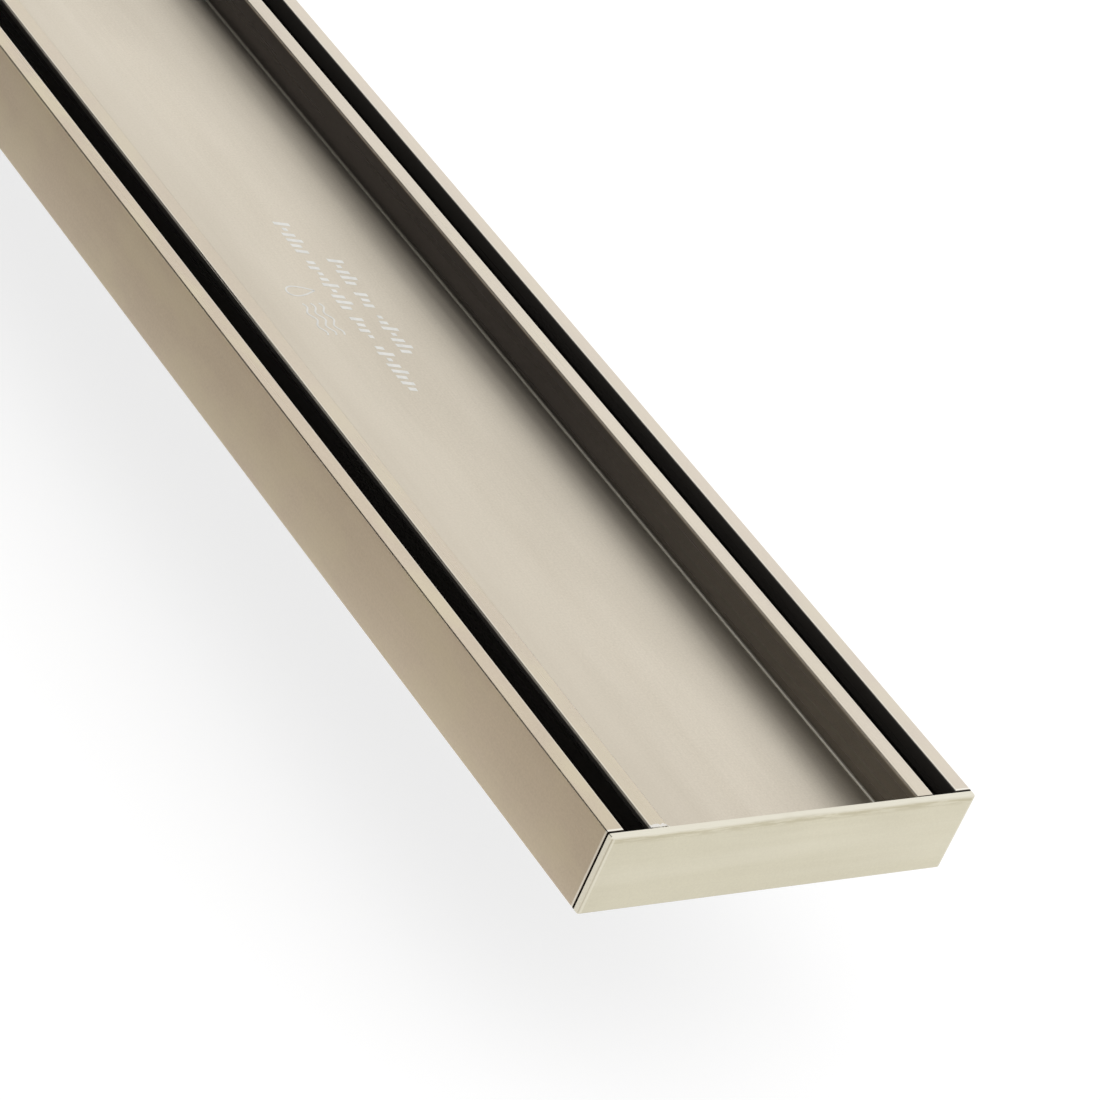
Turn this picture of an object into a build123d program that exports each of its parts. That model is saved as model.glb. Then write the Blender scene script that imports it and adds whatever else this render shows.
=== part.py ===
from build123d import *

import math
import os

# Linear shower drain with a tile insert. A long extruded channel is let into the shower
# floor. A tray for a strip of tile stands inside it on rubber pads, and the water runs
# down through the slot on each long side, under the tray and out at a spigot below the
# middle of the channel. A flat cap closes each end of the channel.
#
# All sizes are in millimetres. X is across the drain, Y along it and Z up. The origin is
# the centre of the spigot's lower end, where it stands in the waste pipe.

# Channel: overall size, then its section
overall_length = 900.0
channel_width = 100.0
channel_height = 21.0
channel_floor = 2.0
channel_wall = 1.8
rim_width = 4.5
rim_depth = 4.6
edge_round = 0.5
channel_inner_round = 0.8

# Screw ports that the end caps' pegs press into, one in each rim and lower corner
port_radius = 1.2
port_lip = 0.65
port_slit = 1.0
port_roof = 1.1
port_sole = 1.0
corner_bead_height = 4.2

# Guide ribs on the channel floor, inside the pads, that keep the tray central
guide_rib_width = 1.6
guide_rib_height = 1.8
guide_clearance = 0.3

# Tray
slot_width = 6.5
tile_depth = 10.3
tray_web = 1.8
tray_wall = 1.8
tray_rim_width = 4.8
tray_rim_thickness = 1.8
tray_foot_thickness = 1.4
tray_corner_round = 0.6
tray_end_clearance = 0.3

# Weep slots through the tray's legs
weep_length = 30.0
weep_height = 2.0
weep_pitch = 60.0
weep_end_margin = 30.0

# Rubber pads under the tray's feet
pad_thickness = 3.0
pad_length = 16.0
pad_side_margin = 0.5
pads_per_side = 3
pad_end_inset = 70.0

# End caps and their seals
cap_thickness = 1.6
cap_round = 0.7
peg_clearance = 0.05
peg_length = 10.0
peg_chamfer = 0.4
seal_thickness = 0.4
seal_inset = 0.3
seal_hole_clearance = 0.15

# Outlet: a spigot glued up into the socket of a flange
spigot_radius = 37.5
spigot_wall = 3.0
spigot_length = 36.0
spigot_chamfer = 1.5
tenon_step = 0.5
tenon_clearance = 0.05
tenon_chamfer = 0.8
neck_wall = 3.0
neck_length = 9.0
flange_thickness = 3.0
flange_side_inset = 3.0
flange_length = 106.0
flange_corner_radius = 10.0
flange_edge_round = 0.8
gasket_thickness = 1.5
gasket_inset = 1.0
floor_hole_margin = 0.5
rib_thickness = 2.4
rib_reach = 5.5
rib_toe = 1.0
rib_angles = (0, 24, 66, 114, 156, 180, 204, 246, 294, 336)

# Outlet screws, countersunk in the channel floor
screw_shank_radius = 1.75
screw_head_radius = 3.5
screw_length = 13.0
screw_tip_length = 2.0
screw_clearance = 0.05
screw_hole_slack = 0.25
screw_side_inset = 8.0
screw_end_inset = 6.5
recess_width = 0.8
recess_span = 3.6
recess_depth = 1.1
boss_radius = 3.6
boss_length = 8.0

# Hair strainer, a perforated disc with a lifting knob
ledge_width = 2.0
strainer_thickness = 1.2
strainer_clearance = 0.3
strainer_hole_radius = 2.6
strainer_hole_pitch = 8.4
strainer_first_ring = 10.2
strainer_edge_margin = 4.4
knob_radius = 5.0
knob_height = 4.0
knob_waist = 3.4
knob_chamfer = 0.8
knob_stem_radius = 2.0
knob_stem_clearance = 0.05

# Places worked out from the sizes above
base = spigot_length + neck_length + flange_thickness + gasket_thickness
top = base + channel_height
floor_top = base + channel_floor
half_width = channel_width / 2
rim_inner = half_width - rim_width
port_x = rim_inner + port_lip + port_radius
upper_port_z = top - port_roof - port_radius
lower_port_z = floor_top + port_sole + port_radius
channel_length = overall_length - 2 * (cap_thickness + seal_thickness)
cap_inner_y = channel_length / 2 + seal_thickness
tray_half_width = rim_inner - slot_width
tray_inner = tray_half_width - tray_rim_width
tray_length = 2 * (cap_inner_y - tray_end_clearance)
web_top = top - tile_depth
web_bottom = web_top - tray_web
foot_bottom = floor_top + pad_thickness
foot_top = foot_bottom + tray_foot_thickness
bore_radius = spigot_radius - spigot_wall
tenon_radius = spigot_radius - tenon_step
socket_radius = tenon_radius + tenon_clearance
neck_radius = socket_radius + neck_wall
throat_radius = bore_radius + ledge_width
floor_hole_radius = throat_radius + floor_hole_margin
flange_top = base - gasket_thickness
flange_bottom = flange_top - flange_thickness
flange_width = channel_width - 2 * flange_side_inset
ledge_top = flange_bottom
screw_x = half_width - screw_side_inset - flange_side_inset
screw_y = flange_length / 2 - screw_end_inset
head_height = screw_head_radius - screw_shank_radius
corner_screws = [(sx * screw_x, sy * screw_y) for sx in (-1, 1) for sy in (-1, 1)]
middle_screws = [(0, -screw_y), (0, screw_y)]
screw_places = corner_screws + middle_screws


def block(x_low, x_high, z_low, z_high):
    """A rectangle of the cross-section, given by its sides."""
    middle = Pos((x_low + x_high) / 2, (z_low + z_high) / 2)
    return middle * Rectangle(x_high - x_low, z_high - z_low)


def side_block(side, x_inner, x_outer, z_low, z_high):
    """A rectangle of the cross-section on the left, side -1, or the right, side 1."""
    x_low, x_high = sorted((side * x_inner, side * x_outer))
    return block(x_low, x_high, z_low, z_high)


def round_corners(section, places, radius):
    """Fillets the section's corners that lie nearest to the given places."""
    corners = [
        section.vertices().sort_by_distance(Vector(x, z, 0))[0] for x, z in places
    ]
    return fillet(corners, radius)


def both_sides(places):
    """The places and their mirror images across the drain's middle."""
    return [(side * x, z) for side in (-1, 1) for x, z in places]


def along(section, length):
    """Extrudes a cross-section along Y, half of the length each way."""
    return extrude(Plane.XZ * section, length / 2, both=True)


def port_cutter(radius, x, z, slit_to_z):
    """A round port with the slit that opens it towards slit_to_z."""
    low, high = sorted((z, slit_to_z))
    slit = block(x - port_slit / 2, x + port_slit / 2, low, high)
    return Pos(x, z) * Circle(radius) + slit


def make_channel():
    """The extruded channel, with the outlet hole and countersinks cut in its floor."""
    bead_top = floor_top + corner_bead_height
    rim_bottom = top - rim_depth
    wall_inner = half_width - channel_wall
    section = block(-half_width, half_width, base, top)
    section -= block(-wall_inner, wall_inner, floor_top, rim_bottom)
    section -= block(-rim_inner, rim_inner, rim_bottom, top)
    rib_outer = tray_inner + pad_side_margin - guide_clearance
    for side in (-1, 1):
        section += side_block(side, rim_inner, wall_inner, floor_top, bead_top)
        section += side_block(
            side,
            rib_outer - guide_rib_width,
            rib_outer,
            floor_top,
            floor_top + guide_rib_height,
        )
    outer_corners = [(half_width, base), (half_width, top), (rim_inner, top)]
    section = round_corners(section, both_sides(outer_corners), edge_round)
    inner_corners = [(rim_inner, floor_top), (wall_inner, rim_bottom)]
    section = round_corners(section, both_sides(inner_corners), channel_inner_round)
    for side in (-1, 1):
        section -= port_cutter(port_radius, side * port_x, upper_port_z, rim_bottom)
        section -= port_cutter(port_radius, side * port_x, lower_port_z, bead_top)
    channel = along(section, channel_length)
    channel -= upright(floor_hole_radius, flange_top, top)
    hole_radius = screw_shank_radius + screw_hole_slack
    for x, y in screw_places:
        channel -= Pos(x, y, 0) * upright(hole_radius, flange_top, top)
        channel -= Pos(x, y, floor_top) * countersink()
    return channel


def countersink():
    """The cone that a screw head sinks into, with its mouth at z = 0."""
    mouth = screw_head_radius + screw_clearance
    tip = screw_shank_radius + screw_clearance
    cone = Cone(tip, mouth, mouth - tip, align=(Align.CENTER, Align.CENTER, Align.MAX))
    return cone


def make_tray():
    """The tray: a web between two C-shaped stiles whose legs have weep slots."""
    wall_outer = tray_inner + tray_wall
    section = block(-wall_outer, wall_outer, web_bottom, web_top)
    for side in (-1, 1):
        section += side_block(side, tray_inner, wall_outer, foot_bottom, top)
        section += side_block(
            side, tray_inner, tray_half_width, top - tray_rim_thickness, top
        )
        section += side_block(
            side, tray_inner, tray_half_width, foot_bottom, foot_top
        )
    edges = [
        (tray_inner, top),
        (tray_half_width, top),
        (tray_half_width, top - tray_rim_thickness),
        (tray_half_width, foot_top),
        (tray_half_width, foot_bottom),
    ]
    section = round_corners(section, both_sides(edges), edge_round)
    corners = [
        (tray_inner, web_top),
        (tray_inner, web_bottom),
        (wall_outer, top - tray_rim_thickness),
        (wall_outer, foot_top),
    ]
    section = round_corners(section, both_sides(corners), tray_corner_round)
    tray = along(section, tray_length)
    return tray - weep_slots()


def weep_slots():
    """Slots that let the water pass through both legs, evenly spaced along the tray."""
    usable = tray_length - 2 * weep_end_margin - weep_length
    spaces = max(1, int(usable // weep_pitch))
    slot_z = (foot_top + web_bottom) / 2
    outline = Plane.YZ * Pos(0, slot_z) * SlotOverall(weep_length, weep_height)
    cutter = extrude(outline, tray_half_width + tray_wall, both=True)
    first = -spaces * weep_pitch / 2
    return [
        Pos(0, first + number * weep_pitch, 0) * cutter for number in range(spaces + 1)
    ]


def make_pads():
    """Rubber pads under both feet, spread from end to end."""
    pad_width = tray_rim_width - 2 * pad_side_margin
    pad_x = (tray_inner + tray_half_width) / 2
    reach = tray_length / 2 - pad_end_inset
    outline = Rot(0, 0, 90) * SlotOverall(pad_length, pad_width)
    pads = {}
    for side_name, side in (("left", -1), ("right", 1)):
        for number in range(pads_per_side):
            y = -reach + 2 * reach * number / max(1, pads_per_side - 1)
            pad = extrude(Pos(side * pad_x, y, floor_top) * outline, pad_thickness)
            pads[f"tray_pad_{side_name}_{number + 1}"] = pad
    return pads


def peg_places():
    """Where the pegs and ports are, as x and z."""
    return both_sides([(port_x, lower_port_z), (port_x, upper_port_z)])


def make_end_cap():
    """The cap of the near end: a plate with a soft front edge and four pegs behind it."""
    outline = block(-half_width, half_width, base, top)
    outline = fillet(outline.vertices(), edge_round)
    plate = extrude(Plane.XZ * outline, cap_thickness)
    front_edges = plate.faces().sort_by(Axis.Y)[0].edges()
    plate = Pos(0, -cap_inner_y, 0) * fillet(front_edges, cap_round)
    peg_radius = port_radius - peg_clearance
    for x, z in peg_places():
        peg = Cylinder(
            peg_radius, peg_length, align=(Align.CENTER, Align.CENTER, Align.MIN)
        )
        peg = chamfer(peg.edges().sort_by(Axis.Z)[-1], peg_chamfer)
        plate += Pos(x, -cap_inner_y, z) * Rot(-90, 0, 0) * peg
    return plate


def make_end_seal():
    """The rubber seal between the channel's near end and its cap, as a thin U."""
    edge = half_width - seal_inset
    outline = block(-edge, edge, base + seal_inset, top - seal_inset)
    outline -= block(-rim_inner, rim_inner, floor_top, top)
    hole_radius = port_radius + seal_hole_clearance
    for x, z in peg_places():
        outline -= Pos(x, z) * Circle(hole_radius)
    seal = extrude(Plane.XZ * outline, seal_thickness)
    return Pos(0, -channel_length / 2, 0) * seal


def upright(radius, z_low, z_high):
    """A cylinder on the Z axis between two heights."""
    return Pos(0, 0, z_low) * Cylinder(
        radius, z_high - z_low, align=(Align.CENTER, Align.CENTER, Align.MIN)
    )


def flange_outline(inset):
    """The outlet flange's outline from above, drawn in by the inset."""
    return RectangleRounded(
        flange_width - 2 * inset, flange_length - 2 * inset, flange_corner_radius - inset
    )


def make_gasket():
    """The flat rubber gasket between the channel floor and the outlet flange."""
    outline = flange_outline(gasket_inset) - Circle(floor_hole_radius)
    for x, y in screw_places:
        outline -= Pos(x, y) * Circle(screw_shank_radius + screw_hole_slack)
    return extrude(Pos(0, 0, flange_top) * outline, gasket_thickness)


def make_outlet_flange():
    """The moulded flange, with the spigot's socket, ribs and screw bosses below it."""
    flange = extrude(Pos(0, 0, flange_bottom) * flange_outline(0), flange_thickness)
    flange = fillet(flange.edges().group_by(Axis.Z)[0], flange_edge_round)
    flange += upright(neck_radius, spigot_length, flange_bottom)
    for angle in rib_angles:
        flange += Rot(0, 0, angle) * outlet_rib()
    for x, y in screw_places:
        boss = upright(boss_radius, flange_bottom - boss_length, flange_bottom)
        flange += Pos(x, y, 0) * boss
    flange -= upright(socket_radius, 0, flange_bottom)
    flange -= upright(throat_radius, 0, flange_top)
    pilot_depth = screw_length - channel_floor - gasket_thickness + screw_tip_length / 2
    pilot_radius = screw_shank_radius + screw_clearance
    for x, y in screw_places:
        pilot = upright(pilot_radius, flange_top - pilot_depth, flange_top)
        flange -= Pos(x, y, 0) * pilot
    return flange


def make_outlet_spigot():
    """The spigot that enters the waste pipe, with a tenon for the flange's socket."""
    spigot = upright(spigot_radius, 0, spigot_length)
    spigot = chamfer(spigot.edges().sort_by(Axis.Z)[0], spigot_chamfer)
    spigot += upright(tenon_radius, spigot_length, ledge_top)
    spigot -= upright(bore_radius, 0, ledge_top)
    mouth = spigot.edges().filter_by(GeomType.CIRCLE).group_by(Axis.Z)[-1].sort_by(
        SortBy.RADIUS
    )[0]
    return chamfer(mouth, tenon_chamfer)


def outlet_rib():
    """A three-cornered rib from the neck to the underside of the flange, along +X."""
    inner = (socket_radius + neck_radius) / 2
    outer = neck_radius + rib_reach
    under = flange_bottom + flange_edge_round
    outline = Polyline(
        (inner, under),
        (outer, under),
        (outer, flange_bottom - rib_toe),
        (neck_radius + rib_toe, spigot_length),
        (inner, spigot_length),
        close=True,
    )
    return extrude(Plane.XZ * make_face(outline), rib_thickness / 2, both=True)


def make_screw():
    """A countersunk cross-recess screw, with the top of its head at z = 0."""
    profile = Polyline(
        (0, 0),
        (screw_head_radius, 0),
        (screw_shank_radius, -head_height),
        (screw_shank_radius, -screw_length + screw_tip_length),
        (0, -screw_length),
        close=True,
    )
    screw = revolve(Plane.XZ * make_face(profile), Axis.Z)
    cross = Rectangle(recess_span, recess_width) + Rectangle(recess_width, recess_span)
    return screw - extrude(cross, -recess_depth)


def make_screws():
    """All the outlet screws, driven down from the channel floor."""
    screw = make_screw()
    return Compound(children=[Pos(x, y, floor_top) * screw for x, y in screw_places])


def make_strainer():
    """The strainer disc, with rings of round holes."""
    radius = throat_radius - strainer_clearance
    disc = Circle(radius) - Circle(knob_stem_radius + knob_stem_clearance)
    last_ring = bore_radius - strainer_edge_margin
    spaces = max(1, int((last_ring - strainer_first_ring) // strainer_hole_pitch))
    ring_step = (last_ring - strainer_first_ring) / spaces
    for ring in range(spaces + 1):
        ring_radius = strainer_first_ring + ring * ring_step
        count = int(2 * math.pi * ring_radius / strainer_hole_pitch)
        disc -= PolarLocations(ring_radius, count) * Circle(strainer_hole_radius)
    return extrude(Pos(0, 0, ledge_top) * disc, strainer_thickness)


def make_knob():
    """The turned lifting knob, its stem swaged flush into the middle of the strainer."""
    disc_top = strainer_thickness
    crown = disc_top + knob_height
    profile = Polyline(
        (0, 0),
        (knob_stem_radius, 0),
        (knob_stem_radius, disc_top),
        (knob_waist, disc_top),
        (knob_waist, disc_top + knob_height / 2),
        (knob_radius, disc_top + knob_height / 2),
        (knob_radius, crown),
        (0, crown),
        close=True,
    )
    knob = revolve(Plane.XZ * make_face(profile), Axis.Z)
    knob = chamfer(knob.edges().sort_by(Axis.Z)[-1], knob_chamfer)
    return Pos(0, 0, ledge_top) * knob


def far_side(near_piece):
    """The far end's copy of a near-end piece, turned half a turn about Z."""
    return Rot(0, 0, 180) * near_piece


def main():
    end_cap = make_end_cap()
    end_seal = make_end_seal()
    pieces = {
        "channel": make_channel(),
        "tile_tray": make_tray(),
        "near_end_cap": end_cap,
        "far_end_cap": far_side(end_cap),
        "near_end_seal": end_seal,
        "far_end_seal": far_side(end_seal),
        "outlet_flange": make_outlet_flange(),
        "outlet_spigot": make_outlet_spigot(),
        "outlet_gasket": make_gasket(),
        "outlet_screws": make_screws(),
        "hair_strainer": make_strainer(),
        "strainer_knob": make_knob(),
    }
    pieces.update(make_pads())
    os.makedirs("parts", exist_ok=True)
    for name, piece in pieces.items():
        export_step(piece, f"parts/{name}.step")
    print(len(pieces), "pieces; channel underside at z", base, "and rim at z", top)


main()
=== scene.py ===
"""Looks of the linear shower drain: satin champagne aluminium with some painted highlights and
shade, slots painted black as shade, soft studio light.
"""

import math
import random

import bmesh
import bpy
from mathutils import Matrix, Vector


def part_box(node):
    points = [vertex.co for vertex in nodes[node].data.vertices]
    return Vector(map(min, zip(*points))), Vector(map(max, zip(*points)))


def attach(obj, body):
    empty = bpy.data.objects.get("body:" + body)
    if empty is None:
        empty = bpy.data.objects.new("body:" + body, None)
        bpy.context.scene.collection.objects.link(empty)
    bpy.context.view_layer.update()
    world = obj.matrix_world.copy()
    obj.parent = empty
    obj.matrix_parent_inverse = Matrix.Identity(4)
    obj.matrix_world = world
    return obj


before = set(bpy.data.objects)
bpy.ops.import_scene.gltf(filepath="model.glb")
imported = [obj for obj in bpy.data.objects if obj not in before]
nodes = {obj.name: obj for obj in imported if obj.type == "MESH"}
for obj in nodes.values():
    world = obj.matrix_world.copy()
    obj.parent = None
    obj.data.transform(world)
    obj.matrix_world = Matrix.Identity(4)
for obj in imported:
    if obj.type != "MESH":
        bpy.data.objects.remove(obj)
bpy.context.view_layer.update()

# The photograph's camera, in metres and degrees; the lens and the sensor are in millimetres
CAMERA_PLACE = Vector((-0.6062, -0.9514, 0.5831))
CAMERA_AZIMUTH = -45.27
CAMERA_ELEVATION = 31.37
CAMERA_ROLL = -23.81
CAMERA_LENS = 146.59
SENSOR = 36.0
CLIP_START = 0.05
CLIP_END = 60.0

# Finishes, and painted highlights and shade, as linear colours
CHAMPAGNE = (0.68, 0.585, 0.465)
CHAMPAGNE_DARK = (0.56, 0.475, 0.37)
# Painted sheen: the rims grow paler towards the right-hand side
PAINTED_SHEEN_CHAMPAGNE = (0.80, 0.745, 0.67)
YELLOW_CHAMPAGNE = (0.67, 0.60, 0.43)
WEB_CHAMPAGNE = (0.78, 0.715, 0.605)
WEB_DARK = (0.63, 0.57, 0.472)
CAP_CHAMPAGNE = (0.68, 0.64, 0.50)
CAP_DARK = (0.60, 0.56, 0.435)
# The cap's pale mottle and the torn edge's second tone, and a painted highlight along the cap's
# edges
CAP_PALE_AND_HIGHLIGHT = (0.80, 0.765, 0.65)
# Painted light: the cap's sides are near white and matt, so that they look lit
CAP_SIDE = (1.0, 0.94, 0.77)
CAP_DARK_BAND = (0.50, 0.455, 0.32)
# Bright at the channel's cut ends, and a painted highlight on the rims' edges beside the slots
CUT_EDGE_AND_HIGHLIGHT = (0.93, 0.89, 0.80)
# Painted light and shade in the recess: a highlight along the walls' foot, shade beside the right
# wall, and shade on the walls
CORNER_SHINE = (0.97, 0.95, 0.86)
CORNER_SHADE = (0.10, 0.102, 0.083)
WALL_SHADE = (0.081, 0.075, 0.090)
GAP_BROWN = (0.045, 0.030, 0.018)
# Painted shade: near black and matt inside the slots and on the tray's sides and underside
SLOT_PAINTED_SHADE = (0.028, 0.025, 0.022)
BURR = (0.80, 0.78, 0.74)
STEEL = (0.56, 0.55, 0.53)
STEEL_DARK = (0.42, 0.41, 0.40)
RUBBER = (0.012, 0.012, 0.012)
RUBBER_GREY = (0.022, 0.022, 0.022)
MOULDED = (0.025, 0.025, 0.028)
MOULDED_GREY = (0.04, 0.04, 0.043)
INK = (0.84, 0.83, 0.79)
INK_THIN = (0.80, 0.785, 0.74)
INK_WORN_SHARE = 0.9

# Sizes read from the frame, and the section's own small ones, in metres
RIM_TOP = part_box("channel")[1][2]
HALF_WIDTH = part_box("channel")[1][0]
CHANNEL_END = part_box("channel")[1][1]
TRAY_HALF_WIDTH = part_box("tile_tray")[1][0]
TRAY_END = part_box("tile_tray")[0][1]
CHANNEL_RIM = 0.0045
TRAY_RIM = 0.0048
TILE_DEPTH = 0.0103
EDGE_ROUND = 0.0005
WEB_TOP = RIM_TOP - TILE_DEPTH
RECESS_HALF_WIDTH = TRAY_HALF_WIDTH - TRAY_RIM

# Where a finish changes: the edge's place, and the width of the soft step across it.
# Most are metres along x, y or z, or from the object's middle. The spots are levels of noise.
CHANNEL_INSIDE = (HALF_WIDTH - EDGE_ROUND, 0.0001)
CHANNEL_SUNK = (RIM_TOP - 0.25 * EDGE_ROUND, 0.3 * EDGE_ROUND)
CHANNEL_LIP = (HALF_WIDTH - CHANNEL_RIM + 0.0005, 0.0002)
CHANNEL_CUT = (CHANNEL_END - 0.0007, 0.0003)
CHANNEL_SEAM = (CHANNEL_END - 0.0002, 0.00005)
SHADY_SIDE = (-0.015, 0.024)
TRAY_LOW = (RIM_TOP - 1.3 * EDGE_ROUND, 0.7 * EDGE_ROUND)
TRAY_LIP = (TRAY_HALF_WIDTH - 0.0005, 0.0002)
TRAY_OUTSIDE = (RECESS_HALF_WIDTH + EDGE_ROUND, 0.0001)
TRAY_UNDERSIDE = (WEB_TOP - 0.0002, 0.0001)
TRAY_SUNK = (RIM_TOP - 0.75 * EDGE_ROUND, 0.6 * EDGE_ROUND)
WALL_START = (WEB_TOP + 0.00042, 0.00012)
SHINE_START = (WEB_TOP + 0.00012, 0.00006)
SHINE_END = (WEB_TOP + 0.00029, 0.00006)
SHADE_TOP = (WEB_TOP + 0.00048, 0.00012)
SHADE_SIDE = (RECESS_HALF_WIDTH - 0.0015, 0.0045)
DULL_TOP = (WEB_TOP + 0.0005, 0.0003)
SAWN_TOP = (RIM_TOP - EDGE_ROUND, 0.0001)
SAWN_END = (TRAY_END - 0.0001, 0.0002)
SAWN_SIDE = (-RECESS_HALF_WIDTH, 0.0001)
CAP_BEVEL = (HALF_WIDTH - 0.0008, 0.0003)
CAP_TOP = (RIM_TOP + 0.0001, 0.0005)
CAP_SIDE_START = (HALF_WIDTH - 0.0001, 0.0001)
SMEAR_SPOTS = (0.58, 0.25)
DARK_BAND_START = (RIM_TOP - 0.0018, 0.0012)
DARK_BAND_SPOTS = (0.48, 0.12)

# How far each of them changes the finish. The recess's grey tints the rims a little too, and
# DULLER is added roughness.
EDGE_HIGHLIGHT_SHARE = 0.5
CUT_SHARE = 0.9
SHADY_SHARE = 0.6
GREY_LEAST = 0.45
TRAY_EDGE_HIGHLIGHT_SHARE = 0.4
SAWN_SHARE = 0.9
DULLER = 0.14
PAINTED_SHEEN_SHARE = 0.5
SMEAR_SHARE = 0.18
DARK_BAND_SHARE = 0.75
BEVEL_HIGHLIGHT_SHARE = 0.5
CAP_SIDE_MATT = 0.9

# How much the fine streaks and the specks add to the brushed tone
FINE_SHARE = 0.35
SPECK_SHARE = 0.3

# Ranges: the two levels that are read, and the two that they become. A swing goes both ways.
UP_RIM = (RIM_TOP - 0.0014, RIM_TOP - 0.0006, 0.3, 0.55)
ACROSS = (0.0, HALF_WIDTH, 0.0, 1.0)
WALL_DARKNESS = (0.3, CHANNEL_END, 0.85, 0.55)
SHADE_DARKNESS = (-0.43, -0.22, 0.5, 0.85)
SHINE_FADE = (-0.43, -0.22, 0.9, 0.0)
YELLOW_STRETCHES = (0.42, 0.62, 0.0, 1.0)
BRUSHED_TONE = (0.1, 0.85, 1.0, 0.0)
CLOUD_TONE = (0.3, 0.7, 0.0, 0.55)
SPECK_TONE = (0.3, 0.7, -0.5, 0.5)
PLAIN_TONE = (0.3, 0.7, 0.0, 1.0)
INK_TONE = (0.4, 0.7, 0.0, 1.0)
INK_ROUGHNESS = (0.3, 0.7, 0.5, 0.65)
NOISE_LOW, NOISE_HIGH = 0.3, 0.7
BRUSHED_SWING = 0.05
PLAIN_SWING = 0.06

# Patterns of noise: how they stretch along x, y and z, their scale, detail and roughness.
# The grains leave out the stretch, and the plain one the scale too, which come with the call.
ALONG_Y = (1.0, 0.012, 1.0)
ALONG_X = (0.012, 1.0, 1.0)
EVEN = (1.0, 1.0, 1.0)
FINE_GRAIN = (2600.0, 3.0, 0.7)
BROAD_GRAIN = (160.0, 4.0, 0.55)
CLOUDS = ((1.0, 0.35, 1.0), 26.0, 3.0, 0.5)
SPECKS = (EVEN, 1900.0, 2.0, 0.6)
RIM_STRETCHES = ((1.0, 0.6, 1.0), 95.0, 2.0, 0.5)
TEARS = (EVEN, 1500.0, 2.0, 0.6)
CAP_HIGHLIGHT_NOISE = ((30.0, 1.0, 300.0), 1.0, 4.0, 0.7)
CAP_MOTTLE = ((9.0, 1.0, 130.0), 1.0, 3.0, 0.6)
CAP_SPOTS = ((130.0, 1.0, 1700.0), 1.0, 4.0, 0.65)
PLAIN_CLOUDS = (EVEN, 40.0, 4.0, 0.6)
PLAIN_GRAIN = (3.0, 0.6)
INK_UNEVEN = ((1.0, 0.3, 1.0), 900.0, 2.0, 0.6)

# How far the torn rim and the cap's painted highlight along its top wander, in metres
TEAR_REACH = 0.0016
HIGHLIGHT_REACH = 0.0009

# The bumps' strengths, and the brushed grain's depth in metres
BRUSHED_BUMP = 0.12
BRUSHED_DEPTH = 0.00002
PLAIN_BUMP = 0.4

# Keeps the noise's own grid off the object's faces, where it would show as lines
NOISE_SHIFT = (0.3717, 0.5383, 0.7129)

# The printed marks in the recess, in metres: u runs along the print and v up it.
# Each row has its own place across the tray and along it, and the lengths of its groups.
INK_THICKNESS = 0.00003
MARK_HEIGHT = 0.0042
MARK_WIDTH = 0.0012
MARK_PITCH = 0.0023
MARK_LEAN = 0.22
GROUP_GAP = 0.0022
PRINT_ROWS = (
    {"x": 0.0063, "y": -0.2358, "groups": (5, 3, 7)},
    {"x": -0.0006, "y": -0.2203, "groups": (6, 9, 4, 8)},
)

# Where each form of stroke starts and ends, as shares of the mark's height. The forms come in
# turn, and the one after each third place is left out.
MARK_FORMS = ((0.0, 1.0), (0.0, 0.65), (0.3, 0.6), (0.0, 0.8), (0.15, 0.65))
SKIP_STEP = 3

# The printed emblem, a drop beside three ripples, in metres and in shares of its height
EMBLEM_X, EMBLEM_Y = -0.0122, -0.2450
EMBLEM_HEIGHT = 0.0078
EMBLEM_LINE = 0.0005
EMBLEM_STEPS = 40
DROP_MIDDLE = 0.0035
DROP_HALF_WIDTH = 0.34 * EMBLEM_HEIGHT
DROP_NARROWEST = 0.12
DROP_TAPER = 1.5
RIPPLES = 3
RIPPLE_START = 0.0085
RIPPLE_LENGTH = 0.0125
RIPPLE_FIRST = 0.2
RIPPLE_PITCH = 0.3
RIPPLE_SWING = 0.0006
RIPPLE_WAVES = 2.5

# The torn edge at the sawn end of the tray's left rim, in metres. The pairs are the ranges of a
# tooth's width in steps, its reach and slant in shares, and its depth below the rim's top.
BURR_REACH = 0.0003
BURR_DEPTH = 0.0004
BURR_ROOT = 0.00005
BURR_STEPS = 30
BURR_MISSING = 0.4
BURR_WIDTHS = (0.4, 1.6)
BURR_REACHES = (0.1, 0.9)
BURR_DROPS = (0.00002, 0.00015)
BURR_SLANTS = (-0.4, 0.4)
BURR_SEED = 7

# The pale floor's own colour, and how far it is lifted towards white where it is seen directly
FLOOR_ALBEDO = 0.4
FLOOR_LIFT = 0.7
FLOOR_ROUGHNESS = 0.9
FLOOR_SHINE = 0.1
FLOOR_REACH = 30.0

# The surroundings' level as light; the camera and reflections see them plain white
AMBIENT = 0.9

# Dark and grey cards on the left, so that what faces that way is in shade. A card's two ends
# show its near and far levels, and CARD_TURN says where along y one becomes the other.
CARD_TURN = (-0.42, -0.06, 0.0, 1.0)
CARDS = (
    {
        "name": "dark_card",
        "centre": (-2.1, 2.2, 2.1),
        "normal": (0.6, -0.6, -0.53),
        "size": (4.2, 3.4),
        "near": (0.02, 0.018, 0.016),
        "far": (0.02, 0.018, 0.016),
    },
    {
        "name": "grey_card",
        "centre": (-0.75, 0.2, 0.002),
        "normal": (0, 0, 1),
        "size": (1.3, 3.4),
        "near": (0.57, 0.53, 0.465),
        "far": (0.44, 0.405, 0.35),
    },
)

# The key light, in metres and watts
KEY_PLACE = (1.7, 1.2, 1.7)
KEY_TARGET = Vector((0, -0.3, 0.05))
KEY_SIZE = (1.6, 1.2)
KEY_ENERGY = 5.0


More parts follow.
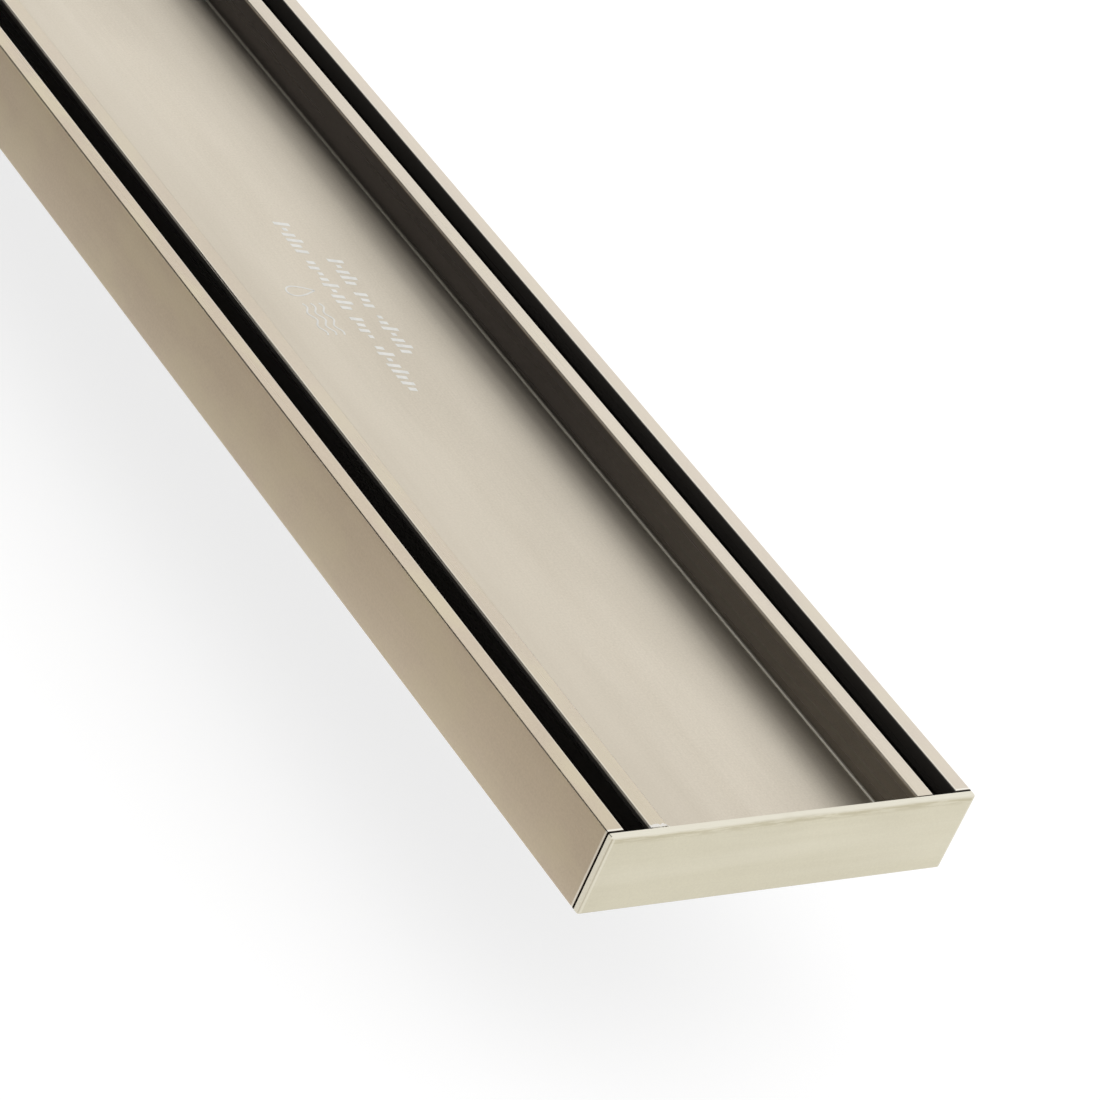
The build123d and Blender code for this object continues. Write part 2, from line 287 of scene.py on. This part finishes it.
class Shader:
    """A small helper that adds shader nodes to a new material or world and links them."""

    def __init__(self, tree):
        self.tree = tree
        tree.nodes.clear()

    def add(self, kind, values=None, **settings):
        node = self.tree.nodes.new(kind)
        for name, value in settings.items():
            setattr(node, name, value)
        for name, value in (values or {}).items():
            node.inputs[name].default_value = value
        return node

    def link(self, output, target):
        self.tree.links.new(output, target)

    def noise(self, stretch, scale, detail, roughness):
        """Noise in the object's own space, stretched along the axes by the given factors."""
        place = self.add("ShaderNodeTexCoord")
        mapping = self.add("ShaderNodeMapping", {"Location": NOISE_SHIFT, "Scale": stretch})
        noise = self.add(
            "ShaderNodeTexNoise",
            {"Scale": scale, "Detail": detail, "Roughness": roughness},
        )
        self.link(place.outputs["Object"], mapping.inputs["Vector"])
        self.link(mapping.outputs["Vector"], noise.inputs["Vector"])
        return noise.outputs["Fac"]

    def spread(self, value, low, high, to_low, to_high):
        """Maps a value from one range to another."""
        node = self.add(
            "ShaderNodeMapRange",
            {"From Min": low, "From Max": high, "To Min": to_low, "To Max": to_high},
        )
        self.link(value, node.inputs["Value"])
        return node.outputs["Result"]

    def about(self, noise, middle, swing):
        """Turns noise into a level that swings about a middle one."""
        return self.spread(noise, NOISE_LOW, NOISE_HIGH, middle - swing, middle + swing)

    def above(self, value, edge, softness):
        """Zero below an edge and one above it, with a soft step between."""
        return self.spread(value, edge - softness / 2, edge + softness / 2, 0.0, 1.0)

    def below(self, value, edge, softness):
        """One below an edge and zero above it, with a soft step between."""
        return self.spread(value, edge - softness / 2, edge + softness / 2, 1.0, 0.0)

    def math(self, operation, *values):
        """One arithmetic step on sockets and numbers."""
        node = self.add("ShaderNodeMath", operation=operation)
        for socket, value in zip(node.inputs, values):
            if isinstance(value, (int, float)):
                socket.default_value = value
            else:
                self.link(value, socket)
        return node.outputs[0]

    def times(self, first, second):
        """Where two masks both hold, or a share of one."""
        return self.math("MULTIPLY", first, second)

    def place(self):
        """The point's own x, y and z in the object's frame."""
        place = self.add("ShaderNodeTexCoord")
        parts = self.add("ShaderNodeSeparateXYZ")
        self.link(place.outputs["Object"], parts.inputs["Vector"])
        return parts.outputs

    def mix(self, factor, first, second):
        """Goes from one colour to another by a factor. Each is a socket or a fixed colour."""
        node = self.add("ShaderNodeMix", data_type="RGBA")
        for socket, colour in ((node.inputs["A"], first), (node.inputs["B"], second)):
            if isinstance(colour, tuple):
                socket.default_value = (*colour, 1.0)
            else:
                self.link(colour, socket)
        self.link(factor, node.inputs["Factor"])
        return node.outputs["Result"]

    def bump(self, height, strength, distance):
        node = self.add("ShaderNodeBump", {"Strength": strength, "Distance": distance})
        self.link(height, node.inputs["Height"])
        return node.outputs["Normal"]


def new_material(name):
    material = bpy.data.materials.new(name)
    material.use_nodes = True
    return material, Shader(material.node_tree)


def finish_material(shader, principled):
    output = shader.add("ShaderNodeOutputMaterial")
    shader.link(principled.outputs["BSDF"], output.inputs["Surface"])


def brushed_tone(shader, along):
    """The grain of a brushed face: fine streaks, and the tone that they and a cloud give."""
    fine = shader.noise(along, *FINE_GRAIN)
    cloud = shader.noise(*CLOUDS)
    speck = shader.noise(*SPECKS)
    streaks = shader.math("MULTIPLY_ADD", fine, FINE_SHARE, shader.spread(cloud, *CLOUD_TONE))
    specks = shader.spread(speck, *SPECK_TONE)
    streaks = shader.math("MULTIPLY_ADD", specks, SPECK_SHARE, streaks)
    return fine, shader.spread(streaks, *BRUSHED_TONE)


def brushed_metal(name, along, roughness, looks, grain=1.0):
    """Satin metal brushed along one axis.

    looks(shader, tone) gives its colour, and may give how far it is matt and not bright metal
    ("matt"), and how much rougher it is ("dull"), from place to place.
    """
    material, shader = new_material(name)
    fine, tone = brushed_tone(shader, along)
    broad = shader.noise(along, *BROAD_GRAIN)
    found = looks(shader, tone)
    principled = shader.add("ShaderNodeBsdfPrincipled", {"Metallic": 1.0})
    shader.link(found["colour"], principled.inputs["Base Color"])
    if "matt" in found:
        bright = shader.math("SUBTRACT", 1.0, found["matt"])
        shader.link(bright, principled.inputs["Metallic"])
    rough = shader.about(broad, roughness, BRUSHED_SWING)
    if "dull" in found:
        rough = shader.math("ADD", rough, found["dull"])
    shader.link(rough, principled.inputs["Roughness"])
    normal = shader.bump(fine, BRUSHED_BUMP * grain, BRUSHED_DEPTH)
    shader.link(normal, principled.inputs["Normal"])
    finish_material(shader, principled)
    return material


def rim_colour(shader, tone, x, z):
    """The rims' colour, yellower in stretches, and with a painted sheen that makes it paler
    towards the right-hand side.
    """
    stretch = shader.noise(*RIM_STRETCHES)
    colour = shader.mix(tone, CHAMPAGNE, CHAMPAGNE_DARK)
    most = shader.spread(z, *UP_RIM)
    yellower = shader.times(shader.spread(stretch, *YELLOW_STRETCHES), most)
    colour = shader.mix(yellower, colour, YELLOW_CHAMPAGNE)
    # A painted sheen, paler towards the right-hand side
    painted_sheen = shader.times(shader.spread(x, *ACROSS), PAINTED_SHEEN_SHARE)
    return shader.mix(painted_sheen, colour, PAINTED_SHEEN_CHAMPAGNE)


def channel_looks(shader, tone):
    """Champagne outside, with bright cut ends and a painted highlight on the rims' inner edges,
    and near black below the rims inside the slots as painted shade.
    """
    x, y, z = shader.place()
    off_middle = shader.math("ABSOLUTE", x)
    inside = shader.below(off_middle, *CHANNEL_INSIDE)
    # Painted shade: near black and matt below the rims inside the slots
    painted_slot_shade = shader.times(inside, shader.below(z, *CHANNEL_SUNK))
    colour = rim_colour(shader, tone, x, z)
    # A painted highlight on the rims' inner edges
    edge_highlight = shader.below(off_middle, *CHANNEL_LIP)
    colour = shader.mix(shader.times(edge_highlight, EDGE_HIGHLIGHT_SHARE), colour, CUT_EDGE_AND_HIGHLIGHT)
    along = shader.math("ABSOLUTE", y)
    cut = shader.above(along, *CHANNEL_CUT)
    colour = shader.mix(shader.times(cut, CUT_SHARE), colour, CUT_EDGE_AND_HIGHLIGHT)
    colour = shader.mix(shader.above(along, *CHANNEL_SEAM), colour, GAP_BROWN)
    return {"colour": shader.mix(painted_slot_shade, colour, SLOT_PAINTED_SHADE), "matt": painted_slot_shade}


def tray_looks(shader, tone):
    """The rims' colour with painted highlights on their outer edges, a greyer recess with painted
    shade on its walls, and the sides and underside painted black as shade.
    """
    x, y, z = shader.place()
    off_middle = shader.math("ABSOLUTE", x)
    low = shader.below(z, *TRAY_LOW)
    colour = tray_colour(shader, tone, (x, y, z), low)
    # A painted highlight on the rims' outer edges
    edge_highlight = shader.above(off_middle, *TRAY_LIP)
    colour = shader.mix(shader.times(edge_highlight, TRAY_EDGE_HIGHLIGHT_SHARE), colour, CUT_EDGE_AND_HIGHLIGHT)
    colour = recess_shades(shader, colour, (x, y, z), low)
    sawn = shader.times(left_rim_end(shader, x, y), shader.above(z, *SAWN_TOP))
    colour = shader.mix(shader.times(sawn, SAWN_SHARE), colour, BURR)
    # Painted shade: near black and matt on the sides and underside, below the rims
    outside = shader.above(off_middle, *TRAY_OUTSIDE)
    under = shader.below(z, *TRAY_UNDERSIDE)
    sunk = shader.below(z, *TRAY_SUNK)
    painted_slot_shade = shader.times(shader.math("MAXIMUM", outside, under), sunk)
    dull = shader.times(shader.below(z, *DULL_TOP), DULLER)
    return {"colour": shader.mix(painted_slot_shade, colour, SLOT_PAINTED_SHADE), "matt": painted_slot_shade, "dull": dull}


def tray_colour(shader, tone, place, low):
    """The rims' colour above and the recess's own below, with painted shade on its left."""
    x, _, z = place
    # Painted shade on the left of the recess
    left_side = shader.times(shader.below(x, *SHADY_SIDE), SHADY_SHARE)
    web = shader.mix(left_side, shader.mix(tone, WEB_CHAMPAGNE, WEB_DARK), WEB_DARK)
    grey = shader.math("MAXIMUM", low, GREY_LEAST)
    return shader.mix(grey, rim_colour(shader, tone, x, z), web)


def recess_shades(shader, colour, place, low):
    """Painted shade on the recess's walls and beside the right one, and a painted highlight along
    the walls' foot.
    """
    x, y, z = place
    # Painted shade on the walls, deeper towards the middle
    wall = shader.times(low, shader.above(z, *WALL_START))
    deeper = shader.spread(shader.math("ABSOLUTE", y), *WALL_DARKNESS)
    colour = shader.mix(shader.times(wall, deeper), colour, WALL_SHADE)
    # A painted highlight along the walls' foot, and painted shade beside the right wall, deeper
    # further along
    line = shader.times(shader.above(z, *SHINE_START), shader.below(z, *SHINE_END))
    beside = shader.times(shader.above(x, *SHADE_SIDE), shader.spread(y, *SHADE_DARKNESS))
    shaded = shader.times(shader.below(z, *SHADE_TOP), beside)
    colour = shader.mix(shaded, colour, CORNER_SHADE)
    return shader.mix(shader.times(line, shader.spread(y, *SHINE_FADE)), colour, CORNER_SHINE)


def left_rim_end(shader, x, y):
    """Where the saw has torn the near end of the tray's left rim, in ragged spots."""
    ragged = shader.noise(*TEARS)
    edge = shader.math("MULTIPLY_ADD", ragged, -TEAR_REACH, y)
    return shader.times(shader.below(edge, *SAWN_END), shader.below(x, *SAWN_SIDE))


def cap_looks(shader, tone):
    """The end cap's plate, with a painted highlight along its top and bevelled edges and painted
    light on its sides, and darker in spots in a band below the top.
    """
    x, _, z = shader.place()
    off_middle = shader.math("ABSOLUTE", x)
    smear = shader.times(shader.above(shader.noise(*CAP_MOTTLE), *SMEAR_SPOTS), SMEAR_SHARE)
    plate = shader.mix(smear, shader.mix(tone, CAP_CHAMPAGNE, CAP_DARK), CAP_PALE_AND_HIGHLIGHT)
    # Darker in spots in a band below the top
    spots = shader.above(shader.noise(*CAP_SPOTS), *DARK_BAND_SPOTS)
    dark_band = shader.times(shader.above(z, *DARK_BAND_START), spots)
    plate = shader.mix(shader.times(dark_band, DARK_BAND_SHARE), plate, CAP_DARK_BAND)
    # A painted highlight along the top and the bevelled edges
    ragged = shader.math("MULTIPLY_ADD", shader.noise(*CAP_HIGHLIGHT_NOISE), HIGHLIGHT_REACH, z)
    bevel_highlight = shader.times(shader.above(off_middle, *CAP_BEVEL), BEVEL_HIGHLIGHT_SHARE)
    bright = shader.math("MAXIMUM", bevel_highlight, shader.above(ragged, *CAP_TOP))
    plate = shader.mix(bright, plate, CAP_PALE_AND_HIGHLIGHT)
    # Painted light: the sides near white and matt
    side = shader.above(off_middle, *CAP_SIDE_START)
    return {"colour": shader.mix(side, plate, CAP_SIDE), "matt": shader.times(side, CAP_SIDE_MATT)}


def steel_looks(shader, tone):
    return {"colour": shader.mix(tone, STEEL, STEEL_DARK)}


def plain_finish(name, colour, other, roughness, grain_scale, grain_depth):
    """Moulded plastic or rubber: a fine grain, with slight changes of tone and gloss."""
    material, shader = new_material(name)
    grain = shader.noise(EVEN, grain_scale, *PLAIN_GRAIN)
    cloud = shader.noise(*PLAIN_CLOUDS)
    principled = shader.add("ShaderNodeBsdfPrincipled", {"Metallic": 0.0})
    tone = shader.mix(shader.spread(cloud, *PLAIN_TONE), colour, other)
    shader.link(tone, principled.inputs["Base Color"])
    rough = shader.about(cloud, roughness, PLAIN_SWING)
    shader.link(rough, principled.inputs["Roughness"])
    shader.link(shader.bump(grain, PLAIN_BUMP, grain_depth), principled.inputs["Normal"])
    finish_material(shader, principled)
    return material


def ink_finish(name, colour):
    """Printed ink: matt, a little uneven where it lies thin on the brushed metal."""
    material, shader = new_material(name)
    uneven = shader.noise(*INK_UNEVEN)
    principled = shader.add("ShaderNodeBsdfPrincipled", {"Metallic": 0.0})
    worn = tuple(INK_WORN_SHARE * part for part in colour)
    tone = shader.mix(shader.spread(uneven, *INK_TONE), colour, worn)
    shader.link(tone, principled.inputs["Base Color"])
    shader.link(shader.spread(uneven, *INK_ROUGHNESS), principled.inputs["Roughness"])
    finish_material(shader, principled)
    return material


def assign(material, *names):
    """Gives CAD nodes a material in place of the one that they were packed with."""
    for name in names:
        slots = nodes[name].data.materials
        slots.clear()
        slots.append(material)


def dress_nodes():
    channel = brushed_metal("champagne_channel", ALONG_Y, roughness=0.3, looks=channel_looks)
    assign(channel, "channel")
    tray = brushed_metal("champagne_tray", ALONG_Y, roughness=0.28, looks=tray_looks)
    assign(tray, "tile_tray")
    cap = brushed_metal("champagne_cap", ALONG_X, roughness=0.34, looks=cap_looks, grain=1.4)
    assign(cap, "near_end_cap", "far_end_cap")
    rubber = plain_finish(
        "black_rubber", RUBBER, RUBBER_GREY, roughness=0.7, grain_scale=900.0, grain_depth=0.00003
    )
    pads = [name for name in nodes if name.startswith("tray_pad")]
    assign(rubber, "near_end_seal", "far_end_seal", "outlet_gasket", *pads)
    moulded = plain_finish(
        "moulded_plastic",
        MOULDED,
        MOULDED_GREY,
        roughness=0.45,
        grain_scale=1500.0,
        grain_depth=0.00004,
    )
    assign(moulded, "outlet_flange", "outlet_spigot")
    steel = brushed_metal("stainless_steel", ALONG_X, roughness=0.25, looks=steel_looks)
    assign(steel, "hair_strainer", "strainer_knob", "outlet_screws")


class AddedPiece:
    """One added mesh, made of small closed forms on the tray."""

    def __init__(self):
        self.mesh = bmesh.new()

    def wrap(self, first, second):
        """Four faces between two rings of four corners."""
        for i in range(4):
            j = (i + 1) % 4
            self.mesh.faces.new((first[i], second[i], second[j], first[j]))

    def ribbon(self, left, right, closed=False):
        """A strip of ink between two lines of (x, y) points, with its underside and edges."""
        rings = []
        for low, high in zip(left, right):
            ring = []
            for (x, y), z in ((low, WEB_TOP), (high, WEB_TOP)):
                ring.append(self.mesh.verts.new((x, y, z)))
            for (x, y), z in ((high, WEB_TOP), (low, WEB_TOP)):
                ring.append(self.mesh.verts.new((x, y, z + INK_THICKNESS)))
            rings.append(ring)
        pairs = list(zip(rings, rings[1:]))
        if closed:
            pairs.append((rings[-1], rings[0]))
        else:
            self.mesh.faces.new(rings[0])
            self.mesh.faces.new(list(reversed(rings[-1])))
        for first, second in pairs:
            self.wrap(first, second)

    def line(self, points, width, closed=False):
        """A line of ink of one width through (x, y) points."""
        left, right = [], []
        last = len(points) - 1
        for i, (x, y) in enumerate(points):
            before = points[i - 1] if closed or i > 0 else points[0]
            after = points[(i + 1) % len(points)] if closed or i < last else points[last]
            along = Vector((after[0] - before[0], after[1] - before[1])).normalized()
            aside = Vector((-along.y, along.x)) * width / 2
            left.append((x - aside.x, y - aside.y))
            right.append((x + aside.x, y + aside.y))
        self.ribbon(left, right, closed)

    def block(self, low, high, shift):
        """A small block whose outer end is shifted sideways."""
        (x0, y0, z0), (x1, y1, z1) = low, high
        corners = ((x0, z0), (x1, z0), (x1, z1), (x0, z1))
        near = [self.mesh.verts.new((x + shift, y0, z)) for x, z in corners]
        far = [self.mesh.verts.new((x, y1, z)) for x, z in corners]
        self.mesh.faces.new(near)
        self.mesh.faces.new(list(reversed(far)))
        self.wrap(far, near)

    def finish(self, name, material):
        bmesh.ops.recalc_face_normals(self.mesh, faces=self.mesh.faces)
        mesh = bpy.data.meshes.new(name)
        self.mesh.to_mesh(mesh)
        self.mesh.free()
        mesh.materials.append(material)
        item = bpy.data.objects.new(name, mesh)
        bpy.context.scene.collection.objects.link(item)
        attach(item, "root")


def print_place(x, y, u, v):
    """A print's own u and v, which run along -Y and +X, as a place on the tray."""
    return (x + v, y - u)


def print_mark(ink, row, u, low, high):
    """One leaning stroke with slanted ends."""
    foot, head = low * MARK_HEIGHT, high * MARK_HEIGHT
    lean_foot, lean_head = foot * MARK_LEAN, head * MARK_LEAN
    x, y = row["x"], row["y"]
    left = [print_place(x, y, u + lean_foot, foot), print_place(x, y, u + lean_head, head)]
    right = [
        print_place(x, y, u + lean_foot + MARK_WIDTH, foot),
        print_place(x, y, u + lean_head + MARK_WIDTH, head),
    ]
    ink.ribbon(left, right)


def print_row(ink, row):
    """Groups of plain strokes, some tall, some short and some no more than a spot."""
    u, count = 0.0, 0
    for group in row["groups"]:
        for _ in range(group):
            low, high = MARK_FORMS[count % len(MARK_FORMS)]
            print_mark(ink, row, u, low, high)
            u += MARK_PITCH
            count += 2 if count % SKIP_STEP == 0 else 1
        u += GROUP_GAP


def print_drop(ink):
    """The outline of a plain drop, with its tip towards the tray's right side."""
    drop = []
    for i in range(EMBLEM_STEPS):
        turn = math.tau * i / EMBLEM_STEPS
        narrow = DROP_NARROWEST + (1 - DROP_NARROWEST) * math.sin(turn / 2) ** DROP_TAPER
        u = DROP_HALF_WIDTH * math.sin(turn) * narrow + DROP_MIDDLE
        v = EMBLEM_HEIGHT * (0.5 + 0.5 * math.cos(turn))
        drop.append(print_place(EMBLEM_X, EMBLEM_Y, u, v))
    ink.line(drop, EMBLEM_LINE, closed=True)


def print_ripple(ink, number):
    """One plain wavy line. Its number gives its place across the print."""
    middle = EMBLEM_HEIGHT * (RIPPLE_FIRST + RIPPLE_PITCH * number)
    wave = []
    for i in range(EMBLEM_STEPS):
        u = RIPPLE_START + RIPPLE_LENGTH * i / (EMBLEM_STEPS - 1)
        v = middle + RIPPLE_SWING * math.sin(RIPPLE_WAVES * math.tau * i / EMBLEM_STEPS)
        wave.append(print_place(EMBLEM_X, EMBLEM_Y, u, v))
    ink.line(wave, EMBLEM_LINE)


def make_print():
    """Two rows of bold strokes and one thin emblem, a plain drop beside three ripples."""
    bold = AddedPiece()
    for row in PRINT_ROWS:
        print_row(bold, row)
    bold.finish("print_rows", ink_finish("white_ink", INK))
    thin = AddedPiece()
    print_drop(thin)
    for number in range(RIPPLES):
        print_ripple(thin, number)
    thin.finish("print_emblem", ink_finish("thin_white_ink", INK_THIN))


def make_burr():
    """The torn edge that the saw left on the tray's left rim, in the gap beside the end cap."""
    draw = random.Random(BURR_SEED)
    burr = AddedPiece()
    for i in range(BURR_STEPS):
        if draw.random() < BURR_MISSING:
            continue
        left = -TRAY_HALF_WIDTH + EDGE_ROUND + i * (TRAY_RIM - EDGE_ROUND) / BURR_STEPS
        width = draw.uniform(*BURR_WIDTHS) * TRAY_RIM / BURR_STEPS
        reach = draw.uniform(*BURR_REACHES) * BURR_REACH
        top = RIM_TOP - draw.uniform(*BURR_DROPS)
        burr.block(
            (left, TRAY_END - reach, top - BURR_DEPTH),
            (left + width, TRAY_END + BURR_ROOT, top),
            draw.uniform(*BURR_SLANTS) * reach,
        )
    torn = plain_finish(
        "torn_edge", BURR, CAP_PALE_AND_HIGHLIGHT, roughness=0.5, grain_scale=2500.0, grain_depth=0.00004
    )
    burr.finish("saw_burr", torn)


def camera_matrix():
    """The camera's place and turn, from its azimuth, elevation and roll."""
    azimuth, elevation, roll = map(
        math.radians, (CAMERA_AZIMUTH, CAMERA_ELEVATION, CAMERA_ROLL)
    )
    ahead = Vector(
        (
            -math.sin(azimuth) * math.cos(elevation),
            math.cos(azimuth) * math.cos(elevation),
            -math.sin(elevation),
        )
    )
    level = ahead.cross(Vector((0, 0, 1))).normalized()
    upright = level.cross(ahead)
    up = math.cos(roll) * upright + math.sin(roll) * level
    right = math.cos(roll) * level - math.sin(roll) * upright
    turn = Matrix((right, up, -ahead)).transposed()
    return Matrix.Translation(CAMERA_PLACE) @ turn.to_4x4()


def make_camera():
    data = bpy.data.cameras.new("photo_camera")
    data.sensor_width = SENSOR
    data.lens = CAMERA_LENS
    data.clip_start = CLIP_START
    data.clip_end = CLIP_END
    camera = bpy.data.objects.new("photo_camera", data)
    camera.matrix_world = camera_matrix()
    bpy.context.scene.collection.objects.link(camera)
    bpy.context.scene.camera = camera


def seen_directly(shader):
    """One for rays from the camera, a reflection or a clear surface, and zero for others."""
    path = shader.add("ShaderNodeLightPath")
    value = path.outputs["Is Camera Ray"]
    for kind in ("Is Glossy Ray", "Is Transmission Ray"):
        value = shader.math("MAXIMUM", value, path.outputs[kind])
    return value


def make_world():
    """White to the camera and in reflections, a plain soft level for everything else."""
    world = bpy.data.worlds.new("studio")
    bpy.context.scene.world = world
    world.use_nodes = True
    shader = Shader(world.node_tree)
    soft = shader.add("ShaderNodeBackground", {"Color": (1, 1, 1, 1), "Strength": AMBIENT})
    white = shader.add("ShaderNodeBackground", {"Color": (1, 1, 1, 1), "Strength": 1.0})
    mix = shader.add("ShaderNodeMixShader")
    output = shader.add("ShaderNodeOutputWorld")
    shader.link(seen_directly(shader), mix.inputs["Fac"])
    shader.link(soft.outputs[0], mix.inputs[1])
    shader.link(white.outputs[0], mix.inputs[2])
    shader.link(mix.outputs[0], output.inputs["Surface"])


def flat_mesh(name, corners, material):
    mesh = bpy.data.meshes.new(name)
    mesh.from_pydata([tuple(c) for c in corners], [], [tuple(range(len(corners)))])
    mesh.materials.append(material)
    item = bpy.data.objects.new(name, mesh)
    bpy.context.scene.collection.objects.link(item)
    return item


def rectangle(half_width, half_height):
    """Four corners about the origin, in the order that makes the face look up."""
    signs = ((-1, -1), (1, -1), (1, 1), (-1, 1))
    return [Vector((a * half_width, b * half_height, 0)) for a, b in signs]


def make_floor():
    material, shader = new_material("pale_floor")
    principled = shader.add(
        "ShaderNodeBsdfPrincipled",
        {
            "Base Color": (FLOOR_ALBEDO, FLOOR_ALBEDO, FLOOR_ALBEDO, 1.0),
            "Roughness": FLOOR_ROUGHNESS,
            "Specular IOR Level": FLOOR_SHINE,
        },
    )
    lift = shader.add("ShaderNodeEmission", {"Color": (1, 1, 1, 1)})
    strength = shader.times(seen_directly(shader), FLOOR_LIFT)
    shader.link(strength, lift.inputs["Strength"])
    both = shader.add("ShaderNodeAddShader")
    output = shader.add("ShaderNodeOutputMaterial")
    shader.link(principled.outputs["BSDF"], both.inputs[0])
    shader.link(lift.outputs[0], both.inputs[1])
    shader.link(both.outputs[0], output.inputs["Surface"])
    flat_mesh("floor", rectangle(FLOOR_REACH, FLOOR_REACH), material)


def make_card(name, centre, normal, size, near, far):
    """A studio card that only reflections see, with the levels that its two ends show."""
    material, shader = new_material(name)
    _, y, _ = shader.place()
    tone = shader.mix(shader.spread(y, *CARD_TURN), near, far)
    glow = shader.add("ShaderNodeEmission", {"Strength": 1.0})
    shader.link(tone, glow.inputs["Color"])
    output = shader.add("ShaderNodeOutputMaterial")
    shader.link(glow.outputs[0], output.inputs["Surface"])
    turn = Vector(normal).to_track_quat("Z", "Y").to_matrix().to_4x4()
    place = Matrix.Translation(centre) @ turn
    corners = [place @ corner for corner in rectangle(size[0] / 2, size[1] / 2)]
    card = flat_mesh(name, corners, material)
    card.visible_camera = False
    card.visible_diffuse = False
    card.visible_shadow = False
    card.visible_transmission = False


def make_key():
    data = bpy.data.lights.new("key", "AREA")
    data.shape = "RECTANGLE"
    data.size, data.size_y = KEY_SIZE
    data.energy = KEY_ENERGY
    key = bpy.data.objects.new("key", data)
    key.location = KEY_PLACE
    toward = KEY_TARGET - key.location
    key.rotation_mode = "QUATERNION"
    key.rotation_quaternion = toward.to_track_quat("-Z", "Y")
    key.visible_glossy = False
    bpy.context.scene.collection.objects.link(key)


def main():
    make_camera()
    make_world()
    make_floor()
    for card in CARDS:
        make_card(**card)
    make_key()
    dress_nodes()
    make_print()
    make_burr()
    bpy.context.scene.view_settings.view_transform = "Standard"


main()
